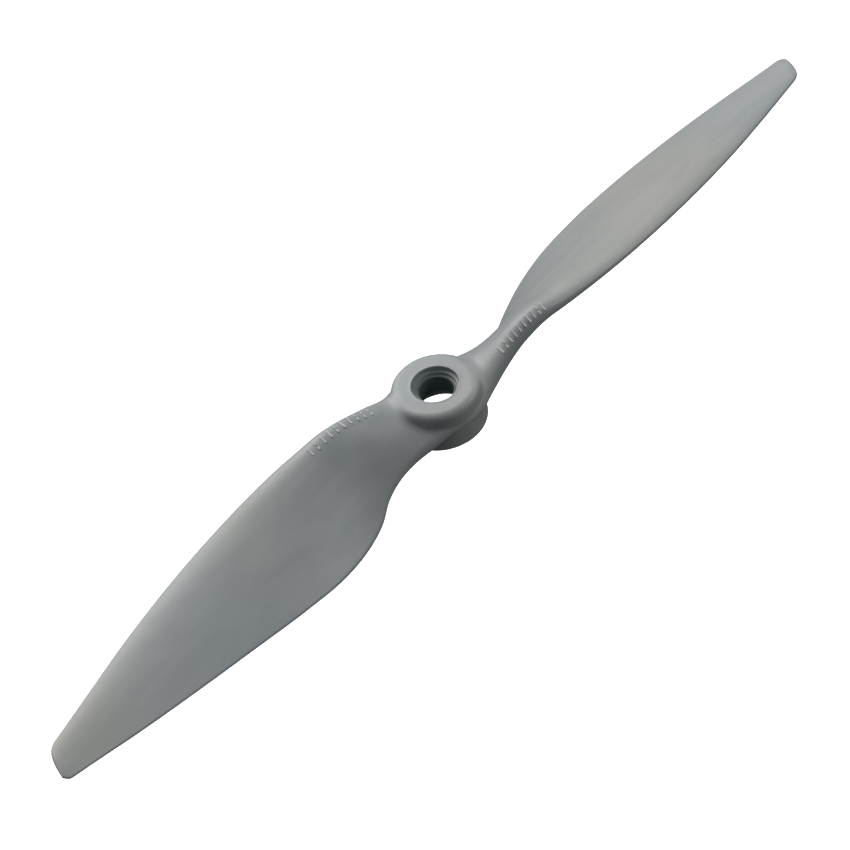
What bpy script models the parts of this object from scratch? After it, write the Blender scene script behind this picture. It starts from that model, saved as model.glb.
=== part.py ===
"""Two-blade push propeller for a multirotor: 203.2 mm across, 114.3 mm pitch, 6.35 mm shaft hole.

The real propeller is one injection moulding. Its hub and its two blades are separate solids here,
with a hairline gap where each blade root wraps round the hub.
The shaft runs along Z and the front of the propeller faces +Z. The first blade lies along +X.
Seen from the front it turns clockwise, so the first blade's leading edge is on its -Y side.
"""

import math

import bmesh
import bpy
import numpy as np

# Driving dimensions, in metres.
DIAMETER = 0.2032
PITCH = 0.1143
BLADES = ("blade_a", "blade_b")

HUB_RADIUS = 0.00835
FRONT_BOSS_RADIUS = 0.00815
FRONT_BOSS_HEIGHT = 0.0039
HUB_HEIGHT = 0.0086
FRONT_RIM_ROUND = 0.0014
REAR_RIM_ROUND = 0.0003
SHAFT_HOLE_RADIUS = 0.003175
FRONT_RECESS_RADIUS = 0.0043
FRONT_RECESS_DEPTH = 0.0016
FRONT_LEDGE_RADIUS = 0.00378
FRONT_LEDGE_DEPTH = 0.0009
REAR_RECESS_RADIUS = 0.0055
REAR_RECESS_DEPTH = 0.0035
ROOT_GAP = 0.0003

# The blade's stations, in millimetres: distance from the shaft axis, leading edge and trailing edge
# across the blade, height of the chord line below the hub's front face, greatest thickness, half
# the thickness of the rounded edges, and rise of the arched underside's middle.
STATIONS = (
    (0.0, -8.0, 8.0, -4.08, 3.6, 1.2, 0.0),
    (7.0, -7.5, 6.35, -4.18, 3.7, 1.0, 0.15),
    (12.0, -7.05, 4.85, -4.28, 3.9, 0.75, 0.35),
    (16.0, -7.05, 4.5, -4.43, 3.8, 0.55, 0.6),
    (20.0, -7.45, 5.1, -4.58, 3.5, 0.42, 0.8),
    (25.0, -8.2, 7.4, -4.28, 3.0, 0.34, 0.85),
    (31.0, -8.9, 9.45, -3.78, 2.5, 0.30, 0.85),
    (39.0, -9.35, 10.85, -3.43, 2.1, 0.28, 0.8),
    (49.0, -9.35, 10.85, -3.33, 1.8, 0.26, 0.7),
    (61.0, -8.75, 9.8, -3.48, 1.6, 0.25, 0.55),
    (74.0, -7.4, 8.15, -3.88, 1.35, 0.24, 0.4),
    (87.0, -5.35, 6.05, -4.33, 1.1, 0.23, 0.22),
    (96.0, -3.8, 4.3, -4.58, 0.9, 0.22, 0.1),
    (101.6, -2.9, 3.3, -4.68, 0.8, 0.22, 0.05),
)
CROWN_POWER = 1.3
TWIST_START = 0.002
TWIST_FULL = 0.0242
TIP_POINT = 0.0022
TIP_LEADING_CUT = 0.0053
TIP_LEADING_POWER = 3.2
TIP_TRAILING_CUT = 0.0012
TIP_TRAILING_POWER = 2.5

# Mesh fineness.
HUB_STEPS = 72
SECTION_STEPS = 13
ROUND_STEPS = 6
TIP_STEPS = 9
TIP_END = 0.00001

GREY_NYLON = (0.33, 0.34, 0.34, 1.0)
MM = 0.001


def new_collection(name):
    collection = bpy.data.collections.new(name)
    bpy.context.scene.collection.children.link(collection)
    return collection


def plastic(name):
    material = bpy.data.materials.new(name)
    material.use_nodes = True
    shader = material.node_tree.nodes["Principled BSDF"]
    shader.inputs["Base Color"].default_value = GREY_NYLON
    shader.inputs["Roughness"].default_value = 0.45
    shader.inputs["Metallic"].default_value = 0.0
    return material


def add_object(name, mesh, collection, parent=None):
    thing = bpy.data.objects.new(name, mesh)
    thing.parent = parent
    collection.objects.link(thing)
    return thing


def smooth_curve(distance, column):
    """A station value at each distance, on a smooth curve through the stations."""
    x = np.array([row[0] for row in STATIONS]) * MM
    y = np.array([row[column] for row in STATIONS]) * MM
    slope = np.gradient(y, x)
    i = np.clip(np.searchsorted(x, distance) - 1, 0, len(x) - 2)
    width = x[i + 1] - x[i]
    t = (distance - x[i]) / width
    return (
        y[i] * (2 * t**3 - 3 * t**2 + 1)
        + slope[i] * width * (t**3 - 2 * t**2 + t)
        + y[i + 1] * (3 * t**2 - 2 * t**3)
        + slope[i + 1] * width * (t**3 - t**2)
    )


def twist(distance):
    """The blade angle: that of a constant pitch, easing to flat where the root meets the hub."""
    share = np.clip((distance - TWIST_START) / (TWIST_FULL - TWIST_START), 0, 1)
    share = share * share * (3 - 2 * share)
    return share * np.arctan2(PITCH, 2 * math.pi * distance)


def tip_edge(edge, distance, cut, power):
    """An edge of the outline, curving in to the tip's outermost point over the length of its cut."""
    past = (distance - (DIAMETER / 2 - cut)) / cut
    return edge + (TIP_POINT - edge) * np.clip(past, 0, 1) ** power


def section(distance):
    """One closed loop of points round the blade: the front from trailing edge to leading edge, then back."""
    leading, trailing, height, thick, edge, arch = (smooth_curve(distance, c) for c in range(1, 7))
    leading = tip_edge(leading, distance, TIP_LEADING_CUT, TIP_LEADING_POWER)
    trailing = tip_edge(trailing, distance, TIP_TRAILING_CUT, TIP_TRAILING_POWER)
    angle = twist(distance)
    chord = (trailing - leading) / math.cos(angle)
    steps = np.linspace(0, math.pi, SECTION_STEPS + 1)
    s = (1 - np.cos(steps)) / 2
    to_edge = np.minimum(1, np.minimum(s, 1 - s) * chord / edge)
    rounding = edge * np.sqrt(1 - (1 - to_edge) ** 2)
    fade = min(1, chord / TIP_LEADING_CUT)
    crown = 2.969 * np.sqrt(s) - 1.26 * s - 3.516 * s**2 + 2.843 * s**3 - 1.036 * s**4
    crown = np.clip(crown, 0, 1) ** CROWN_POWER * (thick - 2 * edge) * fade
    hollow = arch * 4 * s * (1 - s) * fade
    across = leading + (trailing - leading) * s
    chord_line = height - across * math.tan(angle)
    front = chord_line + (hollow + crown + rounding) / math.cos(angle)
    back = chord_line + (hollow - rounding) / math.cos(angle)
    loop = [(distance, y, z) for y, z in zip(across[::-1], front[::-1])]
    loop += [(distance, y, z) for y, z in zip(across[1:-1], back[1:-1])]
    return loop


def blade_distances():
    """Where the loft has its sections: close together at the root and at the tip."""
    root = np.arange(0.003, 0.030, 0.0018)
    span = np.arange(0.030, DIAMETER / 2 - TIP_LEADING_CUT, 0.0042)
    steps = np.linspace(0, math.pi / 2, TIP_STEPS, endpoint=False)
    tip = DIAMETER / 2 - TIP_LEADING_CUT * (1 - np.sin(steps))
    return np.concatenate([root, span, tip, [DIAMETER / 2 - TIP_END]])


def blade_mesh():
    mesh = bpy.data.meshes.new("blade")
    form = bmesh.new()
    loops = [[form.verts.new(p) for p in section(d)] for d in blade_distances()]
    for inner, outer in zip(loops, loops[1:]):
        for k, corner in enumerate(inner):
            form.faces.new((corner, outer[k], outer[k - 1], inner[k - 1]))
    form.faces.new(loops[0])
    form.faces.new(loops[-1][::-1])
    bmesh.ops.recalc_face_normals(form, faces=form.faces)
    form.to_mesh(mesh)
    form.free()
    return mesh


def arc(radius, height, size, start):
    """Points of a quarter circle in the turning plane, clockwise from a start angle in degrees."""
    angles = np.radians(np.linspace(start, start - 90, ROUND_STEPS + 1))
    return [(radius + size * math.cos(a), height + size * math.sin(a)) for a in angles]


def hub_mesh():
    """The hub's turned outline, down its outside and back up through its stepped hole."""
    rear = -HUB_HEIGHT
    outline = arc(FRONT_BOSS_RADIUS - FRONT_RIM_ROUND, -FRONT_RIM_ROUND, FRONT_RIM_ROUND, 90)
    outline += [(FRONT_BOSS_RADIUS, -FRONT_BOSS_HEIGHT), (HUB_RADIUS, -FRONT_BOSS_HEIGHT)]
    outline += arc(HUB_RADIUS - REAR_RIM_ROUND, rear + REAR_RIM_ROUND, REAR_RIM_ROUND, 0)
    outline += [
        (REAR_RECESS_RADIUS, rear),
        (REAR_RECESS_RADIUS, rear + REAR_RECESS_DEPTH),
        (SHAFT_HOLE_RADIUS, rear + REAR_RECESS_DEPTH),
        (SHAFT_HOLE_RADIUS, -FRONT_RECESS_DEPTH),
        (FRONT_LEDGE_RADIUS, -FRONT_RECESS_DEPTH),
        (FRONT_LEDGE_RADIUS, -FRONT_LEDGE_DEPTH),
        (FRONT_RECESS_RADIUS, -FRONT_LEDGE_DEPTH),
        (FRONT_RECESS_RADIUS, 0.0),
    ]
    points = [(radius, 0.0, height) for radius, height in outline]
    edges = [(i, (i + 1) % len(points)) for i in range(len(points))]
    mesh = bpy.data.meshes.new("hub")
    mesh.from_pydata(points, edges, [])
    return mesh


def make_hub(collection, parent):
    hub = add_object("hub", hub_mesh(), collection, parent)
    turn = hub.modifiers.new("turn", "SCREW")
    turn.angle = 2 * math.pi
    turn.steps = turn.render_steps = HUB_STEPS
    turn.use_merge_vertices = True
    turn.merge_threshold = 0.00001
    turn.use_smooth_shade = True
    hub.data.materials.append(plastic("hub_nylon"))
    return hub


def make_hub_clearance(collection, parent):
    """The cutter that leaves a gap between the hub and each blade root."""
    bpy.ops.mesh.primitive_cylinder_add(
        vertices=HUB_STEPS,
        radius=HUB_RADIUS + ROOT_GAP,
        depth=4 * HUB_HEIGHT,
    )
    cutter = bpy.context.object
    cutter.name = "hub_clearance"
    for owner in list(cutter.users_collection):
        owner.objects.unlink(cutter)
    collection.objects.link(cutter)
    cutter.parent = parent
    cutter.hide_render = True
    cutter.display_type = "WIRE"
    return cutter


def make_blade(name, turn, mesh, cutter, collection, parent):
    blade = add_object(name, mesh, collection, parent)
    blade.rotation_euler = (0, 0, turn)
    cut = blade.modifiers.new("hub_gap", "BOOLEAN")
    cut.operation = "DIFFERENCE"
    cut.solver = "EXACT"
    cut.object = cutter
    blade.data.materials.append(plastic(name + "_nylon"))
    blade.data.shade_smooth()
    return blade


def main():
    for thing in list(bpy.data.objects):
        bpy.data.objects.remove(thing)
    parts = new_collection("propeller")
    cutters = new_collection("propeller_cutters")

    heights = [point[2] for d in blade_distances() for point in section(d)]
    disc_plane = (min(heights) + max(heights)) / 2
    shaft_axis = bpy.data.objects.new("shaft_axis", None)
    shaft_axis.location = (0, 0, -disc_plane)
    parts.objects.link(shaft_axis)

    make_hub(parts, shaft_axis)
    cutter = make_hub_clearance(cutters, shaft_axis)
    for number, name in enumerate(BLADES):
        turn = number * 2 * math.pi / len(BLADES)
        make_blade(name, turn, blade_mesh(), cutter, parts, shaft_axis)
    print("hub front face at height", round(-disc_plane / MM, 4), "mm")


main()
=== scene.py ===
"""A grey two-blade push propeller for a multirotor, moulded in one shot of glass-filled nylon."""

import math

import bmesh
import bpy
import numpy as np
from mathutils import Matrix, Vector
from mathutils.bvhtree import BVHTree


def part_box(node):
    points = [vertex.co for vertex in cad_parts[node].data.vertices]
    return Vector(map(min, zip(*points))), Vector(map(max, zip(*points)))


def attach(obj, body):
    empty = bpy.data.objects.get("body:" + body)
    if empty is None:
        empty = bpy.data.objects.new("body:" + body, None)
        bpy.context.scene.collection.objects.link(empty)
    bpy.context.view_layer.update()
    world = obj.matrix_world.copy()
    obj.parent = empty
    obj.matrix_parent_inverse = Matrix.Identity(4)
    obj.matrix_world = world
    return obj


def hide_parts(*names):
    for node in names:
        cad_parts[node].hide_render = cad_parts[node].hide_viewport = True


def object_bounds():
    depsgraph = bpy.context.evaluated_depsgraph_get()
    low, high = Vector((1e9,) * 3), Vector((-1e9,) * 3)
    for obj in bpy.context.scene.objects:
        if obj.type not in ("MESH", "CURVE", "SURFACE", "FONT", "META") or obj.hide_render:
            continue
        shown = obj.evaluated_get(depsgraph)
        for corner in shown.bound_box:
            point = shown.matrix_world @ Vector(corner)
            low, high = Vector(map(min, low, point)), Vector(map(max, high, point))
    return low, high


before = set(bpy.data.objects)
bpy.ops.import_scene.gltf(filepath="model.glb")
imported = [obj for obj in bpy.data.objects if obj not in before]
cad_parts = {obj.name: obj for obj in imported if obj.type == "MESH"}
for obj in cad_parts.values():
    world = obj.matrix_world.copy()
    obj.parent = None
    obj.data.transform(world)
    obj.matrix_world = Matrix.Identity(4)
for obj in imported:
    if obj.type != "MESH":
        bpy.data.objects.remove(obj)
cad_low, cad_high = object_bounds()


# ---------------------------------------------------------------------------------------------
# The span. One twisted bar of blade section runs from tip to tip, right through where the hub
# goes, and is moulded with the hub in one shot of nylon filled with short glass fibres. Its angle
# follows a constant pitch, and it turns clockwise seen from the front: +X leads with its -Y edge.
# ---------------------------------------------------------------------------------------------
# Painted shade in the shaft hole and its recesses, as a darker colour towards the shaft: distance from
# its axis, and the tint there.
painted_hole_shade = (
    (0.003325, (0.24, 0.31, 0.29, 1)),
    (0.0035, (0.62, 0.66, 0.65, 1)),
    (0.004275, (0.62, 0.66, 0.65, 1)),
    (0.004375, (1, 1, 1, 1)),
)
painted_shade_reach = 0.005


def shader_node(material, kind, settings=None, **inputs):
    """Adds a node, sets its properties and inputs, and links the inputs that are sockets."""
    node = material.node_tree.nodes.new(kind)
    for name, value in (settings or {}).items():
        setattr(node, name, value)
    for name, value in inputs.items():
        socket = node.inputs[name.replace("_", " ")]
        if isinstance(value, bpy.types.NodeSocket):
            material.node_tree.links.new(value, socket)
        else:
            socket.default_value = value
    return node


def grey_nylon(name, dark, light):
    """Grey with faint flow streaks, a patchy satin skin, a fine orange peel and painted shade in the
    hole.
    """
    material = bpy.data.materials.new(name)
    material.use_nodes = True
    shader = material.node_tree.nodes["Principled BSDF"]
    place = shader_node(material, "ShaderNodeTexCoord").outputs["Object"]
    flow = shader_node(material, "ShaderNodeMapping", Vector=place, Scale=(60, 240, 240))
    streaks = shader_node(
        material, "ShaderNodeTexNoise", Vector=flow.outputs["Vector"], Scale=1.0, Detail=4.0,
        Roughness=0.55, Distortion=0.6,
    )
    streak_grey = shader_node(material, "ShaderNodeValToRGB", Fac=streaks.outputs["Fac"])
    ramp = streak_grey.color_ramp
    ramp.elements[0].position = 0.32
    ramp.elements[0].color = dark
    ramp.elements[1].position = 0.70
    ramp.elements[1].color = light
    clouds = shader_node(
        material, "ShaderNodeTexNoise", Vector=place, Scale=26.0, Detail=1.0, Roughness=0.4
    )
    cloud_tint = shader_node(material, "ShaderNodeValToRGB", Fac=clouds.outputs["Fac"])
    cloud_tint.color_ramp.elements[0].position = 0.35
    cloud_tint.color_ramp.elements[0].color = (0.95, 0.98, 1.02, 1)
    cloud_tint.color_ramp.elements[1].position = 0.65
    cloud_tint.color_ramp.elements[1].color = (1.02, 1.0, 0.95, 1)
    tinted = shader_node(material, "ShaderNodeMix", {"data_type": "RGBA", "blend_type": "MULTIPLY"})
    tinted.inputs[0].default_value = 1.0
    material.node_tree.links.new(streak_grey.outputs["Color"], tinted.inputs[6])
    material.node_tree.links.new(cloud_tint.outputs["Color"], tinted.inputs[7])

    # Painted shade: the base colour darkens towards the shaft's axis, over the hole and the recesses
    # round it.
    flattened = shader_node(material, "ShaderNodeVectorMath", {"operation": "MULTIPLY"})
    material.node_tree.links.new(place, flattened.inputs[0])
    flattened.inputs[1].default_value = (1, 1, 0)
    from_axis = shader_node(material, "ShaderNodeVectorMath", {"operation": "LENGTH"})
    material.node_tree.links.new(flattened.outputs[0], from_axis.inputs[0])
    reach = shader_node(material, "ShaderNodeMapRange", Value=from_axis.outputs["Value"])
    reach.inputs["From Max"].default_value = painted_shade_reach
    painted_hole_shade_ramp = shader_node(material, "ShaderNodeValToRGB", Fac=reach.outputs["Result"])
    stops = painted_hole_shade_ramp.color_ramp.elements
    while len(stops) < len(painted_hole_shade):
        stops.new(1.0)
    for stop, (radius, colour) in zip(stops, painted_hole_shade):
        stop.position = radius / painted_shade_reach
        stop.color = colour
    skin = shader_node(material, "ShaderNodeMix", {"data_type": "RGBA", "blend_type": "MULTIPLY"})
    skin.inputs[0].default_value = 1.0
    material.node_tree.links.new(tinted.outputs[2], skin.inputs[6])
    material.node_tree.links.new(painted_hole_shade_ramp.outputs["Color"], skin.inputs[7])
    material.node_tree.links.new(skin.outputs[2], shader.inputs["Base Color"])

    patches = shader_node(
        material, "ShaderNodeTexNoise", Vector=place, Scale=420.0, Detail=3.0, Roughness=0.6
    )
    satin = shader_node(material, "ShaderNodeMapRange", Value=patches.outputs["Fac"])
    satin.inputs["To Min"].default_value = 0.40
    satin.inputs["To Max"].default_value = 0.54
    material.node_tree.links.new(satin.outputs["Result"], shader.inputs["Roughness"])

    peel = shader_node(
        material, "ShaderNodeTexNoise", Vector=place, Scale=2600.0, Detail=2.0, Roughness=0.5
    )
    bump = shader_node(
        material, "ShaderNodeBump", Height=peel.outputs["Fac"], Strength=0.18, Distance=0.00004
    )
    material.node_tree.links.new(bump.outputs["Normal"], shader.inputs["Normal"])
    shader.inputs["IOR"].default_value = 1.53
    return material


nylon = grey_nylon("grey_nylon", (0.300, 0.312, 0.312, 1), (0.345, 0.352, 0.346, 1))

MM = 0.001
front_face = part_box("hub")[1].z
tip_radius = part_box("blade_a")[1].x
pitch = 0.1143
pitch_starts = 0.002
pitch_is_full = 0.0242

# Distance from the shaft, leading edge, trailing edge, chord line's height from the hub's front
# face, greatest thickness, half the thickness of the rounded edges, and rise of the arched
# underside's middle, in millimetres.
blade_stations = np.array([
    (0.0, -8.45, 8.45, -4.08, 3.6, 1.2, 0.0),
    (7.0, -7.5, 6.35, -4.18, 3.7, 1.0, 0.15),
    (12.0, -7.05, 4.85, -4.28, 3.9, 0.75, 0.35),
    (16.0, -7.05, 4.5, -4.43, 3.8, 0.55, 0.6),
    (20.0, -7.45, 5.1, -4.58, 3.5, 0.42, 0.8),
    (25.0, -8.2, 7.4, -4.28, 3.0, 0.34, 0.85),
    (31.0, -8.9, 9.45, -3.78, 2.5, 0.30, 0.85),
    (39.0, -9.35, 10.85, -3.43, 2.1, 0.28, 0.8),
    (49.0, -9.35, 10.85, -3.33, 1.8, 0.26, 0.7),
    (61.0, -8.75, 9.8, -3.48, 1.6, 0.25, 0.55),
    (74.0, -7.4, 8.15, -3.88, 1.35, 0.24, 0.4),
    (87.0, -5.35, 6.05, -4.33, 1.1, 0.23, 0.22),
    (96.0, -3.8, 4.3, -4.58, 0.9, 0.22, 0.1),
    (101.6, -2.9, 3.3, -4.68, 0.8, 0.22, 0.05),
]) * MM
crown_power = 1.3

# A usual aerofoil's thickness along its chord: terms of the square root, then of each power.
crown_terms = (2.969, -1.26, -3.516, 2.843, -1.036)

tip_point = 0.0022
tip_leading_cut = 0.0053
tip_leading_power = 3.2
tip_trailing_cut = 0.0012
tip_trailing_power = 2.5

root_edge = 0.016
root_step = 0.0004
span_step = 0.0009
tip_steps = 16
loop_points = 96


def span_positions():
    """Where the bar has a section, from tip to tip: close together at the hub and at the tips."""
    root = np.linspace(0, root_edge, round(root_edge / root_step) + 1)
    cut_starts = tip_radius - tip_leading_cut
    blade = np.linspace(root_edge, cut_starts, round((cut_starts - root_edge) / span_step) + 1)
    bend = np.sin(np.linspace(0, math.pi / 2, tip_steps + 1))
    half = np.concatenate([root, blade[1:], (cut_starts + tip_leading_cut * bend)[1:]])
    return np.concatenate([-half[:0:-1], half])


def station_value(distance, column):
    """A station value on a smooth curve that also runs on smoothly into the opposite blade."""
    before = blade_stations[1, column]
    if column in (1, 2):
        before = -blade_stations[1, 3 - column]
    x = np.concatenate([[-blade_stations[1, 0]], blade_stations[:, 0]])
    y = np.concatenate([[before], blade_stations[:, column]])
    slope = np.gradient(y, x)
    i = np.clip(np.searchsorted(x, distance) - 1, 1, len(x) - 2)
    width = x[i + 1] - x[i]
    t = (distance - x[i]) / width
    return (
        y[i] * (2 * t**3 - 3 * t**2 + 1)
        + slope[i] * width * (t**3 - 2 * t**2 + t)
        + y[i + 1] * (3 * t**2 - 2 * t**3)
        + slope[i + 1] * width * (t**3 - t**2)
    )


def cut_to_tip(edge, distance, cut, power):
    past = np.clip((distance - (tip_radius - cut)) / cut, 0, 1)
    return edge + (tip_point - edge) * past**power


def span_line():
    """A line of points along the bar that carries each section's measures as named attributes."""
    along = span_positions()
    distance = np.abs(along)
    side = np.where(along < 0, -1, 1)
    leading, trailing, height, thick, edge, arch = (station_value(distance, c) for c in range(1, 7))
    leading = cut_to_tip(leading, distance, tip_leading_cut, tip_leading_power)
    trailing = cut_to_tip(trailing, distance, tip_trailing_cut, tip_trailing_power)
    share = np.clip((distance - pitch_starts) / (pitch_is_full - pitch_starts), 0, 1)
    share = share * share * (3 - 2 * share)
    angle = share * np.arctan2(pitch, 2 * math.pi * distance)
    chord = (trailing - leading) / np.cos(angle)
    toward_blade = np.clip(along / root_edge, -1, 1)
    fade = np.minimum(1, chord / tip_leading_cut)
    low = np.where(side > 0, leading, -trailing)
    high = np.where(side > 0, trailing, -leading)
    measures = {
        "along": along,
        "low_edge": low,
        "high_edge": high,
        "low_height": front_face + height - side * low * np.tan(angle),
        "high_height": front_face + height - side * high * np.tan(angle),
        "crown": (thick - 2 * edge) * fade,
        "edge": edge,
        "arch": arch * fade,
        "chord": chord,
        "slant": 1 / np.cos(angle),
        "leads_low": 0.5 + 0.5 * np.sin(toward_blade * math.pi / 2),
    }
    mesh = bpy.data.meshes.new("span_line")
    mesh.from_pydata([(x, 0, 0) for x in along], [(i, i + 1) for i in range(len(along) - 1)], [])
    for name, values in measures.items():
        mesh.attributes.new(name, "FLOAT", "POINT").data.foreach_set("value", values)
    line = bpy.data.objects.new("span_line", mesh)
    bpy.context.scene.collection.objects.link(line)
    return line, along


class Growing:
    """A Geometry Nodes tree that is put together one call at a time."""

    def __init__(self, name, inputs):
        self.tree = bpy.data.node_groups.new(name, "GeometryNodeTree")
        sockets = self.tree.interface
        sockets.new_socket("Geometry", in_out="INPUT", socket_type="NodeSocketGeometry")
        for label, kind, value in inputs:
            socket = sockets.new_socket(label, in_out="INPUT", socket_type="NodeSocket" + kind)
            if kind != "Material":
                socket.default_value = value
        sockets.new_socket("Geometry", in_out="OUTPUT", socket_type="NodeSocketGeometry")
        self.given = self.tree.nodes.new("NodeGroupInput").outputs

    def add(self, kind, settings=None, **inputs):
        node = self.tree.nodes.new("GeometryNode" + kind)
        for name, value in (settings or {}).items():
            setattr(node, name, value)
        for name, value in inputs.items():
            self.join(value, node.inputs[name.replace("_", " ")])
        return node

    def join(self, value, socket):
        if isinstance(value, bpy.types.NodeSocket):
            self.tree.links.new(value, socket)
        else:
            socket.default_value = value

    def calc(self, operation, *values):
        """One step of arithmetic on sockets or numbers."""
        node = self.tree.nodes.new("ShaderNodeMath")
        node.operation = operation
        for value, socket in zip(values, node.inputs):
            self.join(value, socket)
        return node.outputs[0]

    def vector(self, x, y, z):
        node = self.tree.nodes.new("ShaderNodeCombineXYZ")
        for value, socket in zip((x, y, z), node.inputs):
            self.join(value, socket)
        return node.outputs[0]

    def finish(self, geometry):
        """Real geometry in its material, shaded smooth, as the tree's result."""
        real = self.add("RealizeInstances", Geometry=geometry)
        smooth = self.add("SetShadeSmooth", Geometry=real.outputs[0])
        made = self.add("SetMaterial", Geometry=smooth.outputs[0], Material=self.given["Material"])
        self.join(made.outputs[0], self.tree.nodes.new("NodeGroupOutput").inputs[0])
        return self.tree

    def value(self, modifier, label, value):
        """Sets one of the modifier's inputs by its socket's identifier."""
        modifier[self.given[label].identifier] = value


def crown_shape(g, share):
    """How high the front rises along the chord: fast behind the leading edge, then a long fall."""
    root, first, second, third, fourth = crown_terms
    rise = g.calc("MULTIPLY", g.calc("SQRT", share), root)
    fall = g.calc("MULTIPLY_ADD", share, fourth, third)
    fall = g.calc("MULTIPLY_ADD", fall, share, second)
    fall = g.calc("MULTIPLY_ADD", fall, share, first)
    height = g.calc("MAXIMUM", g.calc("MULTIPLY_ADD", fall, share, rise), 0.0)
    return g.calc("POWER", height, g.given["Crown Power"])


def loft_tree():
    g = Growing("loft_the_span", [
        ("Loop Points", "Int", loop_points),
        ("Crown Power", "Float", crown_power),
        ("Material", "Material", None),
    ])
    line = g.given["Geometry"]
    row = g.calc("ADD", g.given["Loop Points"], 1.0)
    sections = g.add("AttributeDomainSize", Geometry=line).outputs["Point Count"]
    grid = g.add("MeshGrid", Vertices_X=sections, Vertices_Y=row)
    index = g.add("InputIndex").outputs[0]
    section = g.calc("FLOOR", g.calc("DIVIDE", g.calc("ADD", index, 0.5), row))
    step = g.calc("SUBTRACT", index, g.calc("MULTIPLY", section, row))

    def measure(name):
        named = g.add("InputNamedAttribute", {"data_type": "FLOAT"}, Name=name)
        sampled = g.add("SampleIndex", {"data_type": "FLOAT", "domain": "POINT"}, Geometry=line)
        g.join(named.outputs["Attribute"], sampled.inputs["Value"])
        g.join(section, sampled.inputs["Index"])
        return sampled.outputs[0]

    low, high, chord, edge = (measure(n) for n in ("low_edge", "high_edge", "chord", "edge"))
    turn = g.calc("MULTIPLY", g.calc("DIVIDE", step, g.given["Loop Points"]), 2 * math.pi)
    share = g.calc("MULTIPLY_ADD", g.calc("COSINE", turn), -0.5, 0.5)
    rest = g.calc("SUBTRACT", 1.0, share)
    across = g.calc("MULTIPLY_ADD", g.calc("SUBTRACT", high, low), share, low)
    rise = g.calc("SUBTRACT", measure("high_height"), measure("low_height"))
    chord_line = g.calc("MULTIPLY_ADD", rise, share, measure("low_height"))

    from_edge = g.calc("DIVIDE", g.calc("MULTIPLY", g.calc("MINIMUM", share, rest), chord), edge)
    short = g.calc("SUBTRACT", 1.0, g.calc("MINIMUM", from_edge, 1.0))
    round_share = g.calc("SQRT", g.calc("MULTIPLY_ADD", g.calc("MULTIPLY", short, short), -1.0, 1.0))
    rounding = g.calc("MULTIPLY", round_share, edge)
    leads_low = measure("leads_low")
    from_low = g.calc("MULTIPLY", crown_shape(g, share), leads_low)
    from_high = g.calc("MULTIPLY", crown_shape(g, rest), g.calc("SUBTRACT", 1.0, leads_low))
    crown = g.calc("MULTIPLY", g.calc("ADD", from_low, from_high), measure("crown"))
    hollow = g.calc("MULTIPLY", g.calc("MULTIPLY", share, rest), g.calc("MULTIPLY", measure("arch"), 4.0))

    on_front = g.calc("LESS_THAN", turn, math.pi)
    front = g.calc("ADD", crown, rounding)
    back = g.calc("SUBTRACT", hollow, rounding)
    offset = g.calc("MULTIPLY_ADD", g.calc("ADD", front, rounding), on_front, back)
    height = g.calc("MULTIPLY_ADD", offset, measure("slant"), chord_line)
    place = g.vector(measure("along"), across, height)
    bar = g.add("SetPosition", Geometry=grid.outputs["Mesh"], Position=place)
    return g, g.finish(bar.outputs[0])


def grown(thing, name, growing, tree, **values):
    """The plain mesh that a Geometry Nodes tree makes from an object, which is then removed."""
    modifier = thing.modifiers.new(name, "NODES")
    modifier.node_group = tree
    for label, value in values.items():
        growing.value(modifier, label.replace("_", " "), value)
    shown = thing.evaluated_get(bpy.context.evaluated_depsgraph_get())
    mesh = bpy.data.meshes.new_from_object(shown)
    bpy.data.objects.remove(thing)
    return mesh


def mesh_points(mesh):
    points = np.zeros(len(mesh.vertices) * 3)
    mesh.vertices.foreach_get("co", points)
    return points.reshape(-1, 3)


line_object, along = span_line()
loft, tree = loft_tree()
span_mesh = grown(line_object, "span", loft, tree, Material=nylon)
span = mesh_points(span_mesh).reshape(len(along), loop_points + 1, 3)
span_surface = BVHTree.FromPolygons(
    [p for section in span for p in section],
    [tuple(f.vertices) for f in span_mesh.polygons],
)

# ---------------------------------------------------------------------------------------------
# The hub. A plain round boss with a rounded front rim stands on the bar and a shorter one hangs
# below it, with soft fillets where the two halves of the mould were milled. Each line of its
# surface runs out from the shaft hole along one ray, over the boss and on to the bar.
# ---------------------------------------------------------------------------------------------
front_boss_radius = 0.00815
rear_boss_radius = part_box("hub")[1].x
rear_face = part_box("hub")[0].z
front_rim_round = 0.0014
level_rim_round = 0.0005
rear_rim_round = 0.0003
shaft_hole_radius = 0.003175
front_recess_radius = 0.0043
front_recess_depth = 0.0016
front_ledge_radius = 0.00378
front_ledge_depth = 0.0009
hole_lip = 0.00014
rear_recess_radius = 0.0055
rear_recess_depth = 0.0035
turned_ring_depth = 0.00002
turned_ring_pitch = 0.00034
flat_radius = 0.0064
front_softness = 0.00022
level_softness = 0.00110
tall_wall = 0.0028
low_wall = 0.0012
rear_softness = 0.00010
hole_softness = 0.00007
soft_until = 0.0098
plain_from = 0.0128
path_step = 0.00005
hole_points = 44
boss_points = 72
rim_points = 24
merge_distance = 0.000001

half_loop = loop_points // 2
hub_sections = np.nonzero(np.abs(along) < root_edge + path_step)[0]
first_section, last_section = hub_sections[0], hub_sections[-1]


def ray_ends():
    """The front and rear points on the bar that each ray round the shaft runs out to."""
    right = [(span[last_section, j], span[last_section, -1 - j]) for j in range(half_loop)]
    far = [(span[k, half_loop], span[k, half_loop]) for k in hub_sections[:0:-1]]
    left = [(span[first_section, j], span[first_section, -1 - j]) for j in range(half_loop, 0, -1)]
    near = [(span[k, 0], span[k, 0]) for k in hub_sections[:-1]]
    return right + far + left + near


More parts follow.
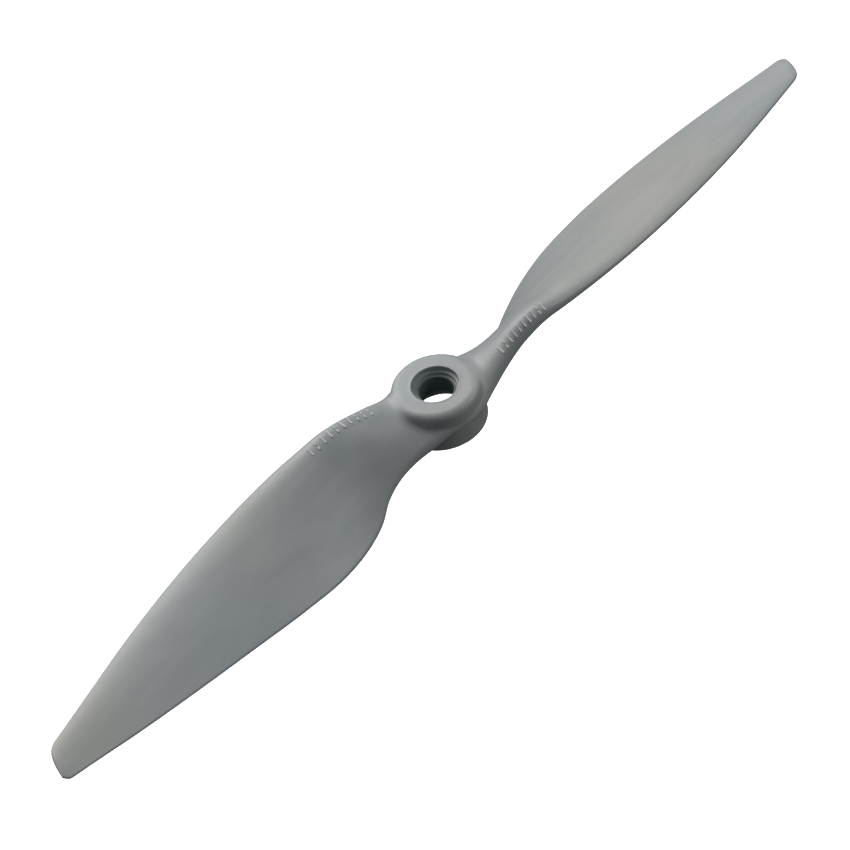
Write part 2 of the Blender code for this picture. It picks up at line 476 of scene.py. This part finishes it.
def straight(path):
    """Even steps along a path with corners, path_step apart."""
    run = np.concatenate([[0], np.cumsum(np.hypot(*np.diff(path, axis=0).T))])
    even = np.linspace(0, run[-1], max(2, round(run[-1] / path_step)))
    return np.column_stack([np.interp(even, run, path[:, c]) for c in (0, 1)])


def soften(path, softness):
    """Rounds an even path's corners, as a milled mould's are, and leaves its ends where they are."""
    reach = min(round(3 * softness / path_step), len(path) - 1)
    weights = np.exp(-0.5 * (np.arange(-reach, reach + 1) * path_step / softness) ** 2)
    weights /= weights.sum()
    before = 2 * path[0] - path[reach:0:-1]
    after = 2 * path[-1] - path[-2:-reach - 2:-1]
    padded = np.concatenate([before, path, after])
    return np.column_stack([np.convolve(padded[:, c], weights, "valid") for c in (0, 1)])


def spaced(path, count):
    """A number of points at even steps along a path, its two ends included."""
    run = np.concatenate([[0], np.cumsum(np.hypot(*np.diff(path, axis=0).T))])
    even = np.linspace(0, run[-1], count)
    return np.column_stack([np.interp(even, run, path[:, c]) for c in (0, 1)])


def hole_path(outline):
    """From the middle of the shaft hole out through a recess to the flat face, on every ray."""
    middle = (front_face - front_recess_depth + rear_face + rear_recess_depth) / 2
    path = straight(np.array([(shaft_hole_radius, middle)] + outline))
    radius, height = path.T
    on_wall = (radius > shaft_hole_radius + path_step) & (np.abs(np.gradient(radius)) < path_step / 4)
    rings = turned_ring_depth * np.sin(2 * math.pi * height / turned_ring_pitch)
    path[:, 0] += np.where(on_wall, rings, 0)
    return spaced(soften(path, hole_softness), hole_points)


def front_hole():
    """The front recess, in two steps, with a fine lip where the shaft hole was reamed."""
    floor = front_face - front_recess_depth
    ledge = front_face - front_ledge_depth
    return [
        (shaft_hole_radius, floor + hole_lip),
        (shaft_hole_radius + hole_lip, floor + hole_lip),
        (shaft_hole_radius + 2 * hole_lip, floor),
        (front_ledge_radius, floor),
        (front_ledge_radius, ledge),
        (front_recess_radius, ledge),
        (front_recess_radius, front_face + hole_lip / 2),
        (front_recess_radius + 2 * hole_lip, front_face + hole_lip / 2),
        (front_recess_radius + 3 * hole_lip, front_face),
        (flat_radius, front_face),
    ]


def rear_hole():
    floor = rear_face + rear_recess_depth
    return [
        (shaft_hole_radius, floor),
        (rear_recess_radius, floor),
        (rear_recess_radius, rear_face),
        (flat_radius, rear_face),
    ]


def bar_height(x, y, toward, otherwise):
    """The bar's front or rear surface over a point, or another height where the bar isn't."""
    start = Vector((x, y, 2 * toward * cad_high.z))
    hit = span_surface.ray_cast(start, Vector((0, 0, -toward)))[0]
    return otherwise if hit is None else hit.z


def boss_path(end, face, radius, rim_round, softness, toward):
    """From the flat face over the rim and down the boss's wall, then along the bar to its end."""
    reach = math.hypot(end[0], end[1])
    ux, uy = end[0] / reach, end[1] / reach
    outer = np.arange(radius, reach, path_step)
    bar = np.array([bar_height(r * ux, r * uy, toward, end[2]) for r in outer])
    if toward > 0:
        level = 1 - min(1, max(0, (face - bar[0] - low_wall) / (tall_wall - low_wall)))
        softness += (level_softness - softness) * level
        rim_round += (level_rim_round - rim_round) * level
    turn = np.linspace(0, math.pi / 2, rim_points)
    rim = np.column_stack([
        radius - rim_round + rim_round * np.sin(turn),
        face - toward * rim_round * (1 - np.cos(turn)),
    ])
    path = straight(np.concatenate([
        [(flat_radius, face)],
        rim,
        np.column_stack([outer, bar]),
        [(reach, end[2])],
    ]))
    plain = np.clip((path[:, 0] - soft_until) / (plain_from - soft_until), 0, 1)[:, None]
    path = path * plain + soften(path, softness) * (1 - plain)
    return spaced(path, boss_points)


def hub_skin():
    """Rings of points from ray to ray, on the front half and on the rear half of the hub."""
    halves = [
        (0, front_hole(), front_face, front_boss_radius, front_rim_round, front_softness, 1),
        (1, rear_hole(), rear_face, rear_boss_radius, rear_rim_round, rear_softness, -1),
    ]
    skins = []
    for which, outline, face, radius, rim_round, softness, toward in halves:
        hole = hole_path(outline)
        rays = []
        for ends in ray_ends():
            end = ends[which]
            boss = boss_path(end, face, radius, rim_round, softness, toward)
            path = np.concatenate([hole, boss[1:]])
            reach = math.hypot(end[0], end[1])
            across = path[:, :1] * np.array([[end[0], end[1]]]) / reach
            rays.append(np.column_stack([across, path[:, 1]]))
        skins.append(np.array(rays))
    return skins


def stitch(form, grid):
    """Faces between each line of points and the next, all the way round."""
    lines = [[form.verts.new(p) for p in line] for line in grid]
    for line, following in zip(lines, lines[1:] + lines[:1]):
        for k in range(len(line) - 1):
            form.faces.new((line[k], line[k + 1], following[k + 1], following[k]))


def moulding():
    """The two blades and the hub as one closed skin."""
    form = bmesh.new()
    for sections in (range(first_section + 1), range(last_section, len(along))):
        rows = [span[k] for k in sections]
        stitch(form, np.array(rows).transpose(1, 0, 2))
    for half in hub_skin():
        stitch(form, half)
    bmesh.ops.remove_doubles(form, verts=form.verts, dist=merge_distance)
    bmesh.ops.dissolve_degenerate(form, edges=form.edges, dist=merge_distance)
    bmesh.ops.recalc_face_normals(form, faces=form.faces)
    mesh = bpy.data.meshes.new("propeller_moulding")
    form.to_mesh(mesh)
    form.free()
    return mesh


propeller = bpy.data.objects.new("propeller_moulding", moulding())
bpy.context.scene.collection.objects.link(propeller)
propeller.data.shade_smooth()
propeller.data.materials.append(nylon)
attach(propeller, "root")
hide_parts("hub", "blade_a", "blade_b")

# ---------------------------------------------------------------------------------------------
# The mould marks. A row of small raised bars, some broken in two, stands near the leading edge at
# each blade's root, where the mould was engraved. They are part of the same shot of nylon, and
# their colour is a little paler than the skin round them, a painted highlight on their raised
# tops. The bars have no meaning.
# ---------------------------------------------------------------------------------------------
mark_rows = {
    "mould_marks_a": ((0.0120, -0.0055), (0.0226, -0.0067)),
    "mould_marks_b": ((-0.0124, 0.0044), (-0.0264, 0.0056)),
}
marks_in_a_row = 10
mark_long = 0.0017
dash_share = 0.36
mark_line = 0.00036
mark_stands = 0.00008
mark_levels = 3
mark_crease = 0.5
# Painted highlight: a paler copy of the grey nylon for the marks' raised tops.
painted_highlight_nylon = grey_nylon("painted_highlight_nylon", (0.52, 0.53, 0.53, 1), (0.62, 0.62, 0.61, 1))


def marks_tree():
    g = Growing("raise_the_marks", [
        ("Start", "Vector", (0, 0, 0)),
        ("End", "Vector", (0, 0, 0)),
        ("Count", "Int", marks_in_a_row),
        ("Long", "Float", mark_long),
        ("Dash", "Float", dash_share),
        ("Line", "Float", mark_line),
        ("Stands", "Float", mark_stands),
        ("Seed", "Int", 3),
        ("Material", "Material", None),
    ])
    skin = g.given["Geometry"]
    start = g.given["Start"]
    end = g.given["End"]
    row = g.add(
        "MeshLine", {"mode": "END_POINTS"}, Count=g.given["Count"], Start_Location=start, Offset=end
    )
    down = g.vector(0.0, 0.0, -1.0)
    below = g.add("Raycast", Target_Geometry=skin, Ray_Direction=down, Ray_Length=1.0)
    leaning = g.add(
        "StoreNamedAttribute", {"data_type": "FLOAT_VECTOR", "domain": "POINT"},
        Geometry=row.outputs["Mesh"], Name="lean", Value=below.outputs["Hit Normal"],
    )
    landed = g.add(
        "SetPosition", Geometry=leaning.outputs[0], Position=below.outputs["Hit Position"]
    )
    lean = g.add("InputNamedAttribute", {"data_type": "FLOAT_VECTOR"}, Name="lean")
    flat = g.tree.nodes.new("FunctionNodeAlignRotationToVector")
    flat.axis = "Z"
    g.join(lean.outputs["Attribute"], flat.inputs["Vector"])
    along_row = g.tree.nodes.new("ShaderNodeVectorMath")
    along_row.operation = "SUBTRACT"
    g.join(end, along_row.inputs[0])
    g.join(start, along_row.inputs[1])
    turned = g.tree.nodes.new("FunctionNodeAlignRotationToVector")
    turned.axis = "X"
    turned.pivot_axis = "Z"
    g.join(flat.outputs["Rotation"], turned.inputs["Rotation"])
    g.join(along_row.outputs["Vector"], turned.inputs["Vector"])

    def bar(length):
        """A bar with soft corners, sunk to half its height in the skin."""
        size = g.vector(g.given["Line"], length, g.calc("MULTIPLY", g.given["Stands"], 2.0))
        block = g.add("MeshCube", Size=size)
        rounded = g.add(
            "SubdivisionSurface", Mesh=block.outputs["Mesh"], Level=mark_levels,
            Edge_Crease=mark_crease,
        )
        return rounded.outputs["Mesh"]

    def moved(shape, sideways):
        """A shape moved along the bar's length."""
        place = g.vector(0.0, sideways, 0.0)
        return g.add("Transform", Geometry=shape, Translation=place).outputs[0]

    short = g.calc("MULTIPLY", g.given["Long"], g.given["Dash"])
    shift = g.calc("MULTIPLY", g.calc("SUBTRACT", g.given["Long"], short), 0.5)
    dash = bar(short)
    dashes = g.add("JoinGeometry", Geometry=moved(dash, shift))
    g.tree.links.new(moved(dash, g.calc("MULTIPLY", shift, -1.0)), dashes.inputs[0])
    choice = g.tree.nodes.new("FunctionNodeRandomValue")
    choice.data_type = "INT"
    choice.inputs[4].default_value = 0
    choice.inputs[5].default_value = 2
    g.join(g.given["Seed"], choice.inputs["Seed"])
    pairs = g.add("GeometryToInstance", Geometry=dashes.outputs[0])
    bars = g.add("GeometryToInstance", Geometry=bar(g.given["Long"]))
    both = g.add("JoinGeometry", Geometry=pairs.outputs[0])
    g.tree.links.new(bars.outputs[0], both.inputs[0])
    row = g.add(
        "InstanceOnPoints", Points=landed.outputs[0], Instance=both.outputs[0], Pick_Instance=True,
        Instance_Index=choice.outputs[2], Rotation=turned.outputs["Rotation"],
    )
    return g, g.finish(row.outputs[0])


marks, tree = marks_tree()
for seed, (name, (start, end)) in enumerate(mark_rows.items(), 3):
    template = bpy.data.objects.new(name, propeller.data)
    bpy.context.scene.collection.objects.link(template)
    above = 2 * cad_high.z
    mesh = grown(
        template, name, marks, tree, Start=(*start, above), End=(*end, above), Seed=seed,
        Material=painted_highlight_nylon,
    )
    mesh.name = name
    mark_row = bpy.data.objects.new(name, mesh)
    bpy.context.scene.collection.objects.link(mark_row)
    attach(mark_row, "root")

# ---------------------------------------------------------------------------------------------
# The stage. A white floor that glows a little, one large soft lamp above and behind the hub, a
# weaker one from the right, and a pale room that is darker below. The floor lies well below the
# propeller, and throws no light back at it.
# ---------------------------------------------------------------------------------------------
floor_size = 6.0
floor_drop = 0.12
floor_mesh = bpy.data.meshes.new("floor")
corners = [(-1, -1), (1, -1), (1, 1), (-1, 1)]
floor_mesh.from_pydata(
    [(x * floor_size / 2, y * floor_size / 2, -floor_drop) for x, y in corners], [], [(0, 1, 2, 3)]
)
floor = bpy.data.objects.new("floor", floor_mesh)
bpy.context.scene.collection.objects.link(floor)
floor.visible_diffuse = False
floor.visible_glossy = False
white = bpy.data.materials.new("white_floor")
white.use_nodes = True
white_shader = white.node_tree.nodes["Principled BSDF"]
white_shader.inputs["Base Color"].default_value = (0.9, 0.9, 0.9, 1)
white_shader.inputs["Roughness"].default_value = 0.9
white_shader.inputs["Emission Color"].default_value = (1, 1, 1, 1)
white_shader.inputs["Emission Strength"].default_value = 0.9
floor_mesh.materials.append(white)


def soft_lamp(name, direction, distance, size, power, colour):
    light = bpy.data.lights.new(name, "AREA")
    light.shape = "DISK"
    light.size = size
    light.energy = power
    light.color = colour
    lamp = bpy.data.objects.new(name, light)
    place = Vector(direction).normalized() * distance
    lamp.location = place
    lamp.rotation_euler = place.to_track_quat("Z", "Y").to_euler()
    bpy.context.scene.collection.objects.link(lamp)


soft_lamp("key_lamp", (0.12, 0.72, 0.65), 1.0, 0.9, 9.8, (1.0, 0.99, 0.975))
soft_lamp("side_lamp", (0.65, -0.55, 0.5), 1.2, 0.6, 4.0, (0.97, 0.985, 1.0))
world = bpy.data.worlds.new("pale_room")
bpy.context.scene.world = world
world.use_nodes = True
room = world.node_tree.nodes["Background"]
room_place = world.node_tree.nodes.new("ShaderNodeTexCoord")
room_height = world.node_tree.nodes.new("ShaderNodeSeparateXYZ")
room_shade = world.node_tree.nodes.new("ShaderNodeValToRGB")
world.node_tree.links.new(room_place.outputs["Generated"], room_height.inputs["Vector"])
world.node_tree.links.new(room_height.outputs["Z"], room_shade.inputs["Fac"])
room_shade.color_ramp.elements[0].position = 0.0
room_shade.color_ramp.elements[0].color = (0.045, 0.052, 0.055, 1)
room_shade.color_ramp.elements[1].position = 0.25
room_shade.color_ramp.elements[1].color = (0.235, 0.25, 0.262, 1)
world.node_tree.links.new(room_shade.outputs["Color"], room.inputs["Color"])
room.inputs["Strength"].default_value = 1.0
bpy.context.scene.view_settings.view_transform = "Standard"

camera_azimuth = math.radians(-39.871)
camera_elevation = math.radians(46.216)
camera_roll = math.radians(-12.611)
camera_distance = 1.1034
lens = 264.26
aim_right = -0.00175
aim_up = -0.00723

back = Vector((
    math.sin(camera_azimuth) * math.cos(camera_elevation),
    -math.cos(camera_azimuth) * math.cos(camera_elevation),
    math.sin(camera_elevation),
))
level = Vector((math.cos(camera_azimuth), math.sin(camera_azimuth), 0))
upright = back.cross(level)
right = level * math.cos(camera_roll) + upright * math.sin(camera_roll)
up = upright * math.cos(camera_roll) - level * math.sin(camera_roll)
aim = Vector((0, 0, front_face)) + right * aim_right + up * aim_up

camera = bpy.data.objects.new("camera", bpy.data.cameras.new("camera"))
camera.data.lens = lens
camera.data.clip_end = 10
place = aim + back * camera_distance
camera.matrix_world = Matrix((
    (right.x, up.x, back.x, place.x),
    (right.y, up.y, back.y, place.y),
    (right.z, up.z, back.z, place.z),
    (0, 0, 0, 1),
))
bpy.context.scene.collection.objects.link(camera)
bpy.context.scene.camera = camera
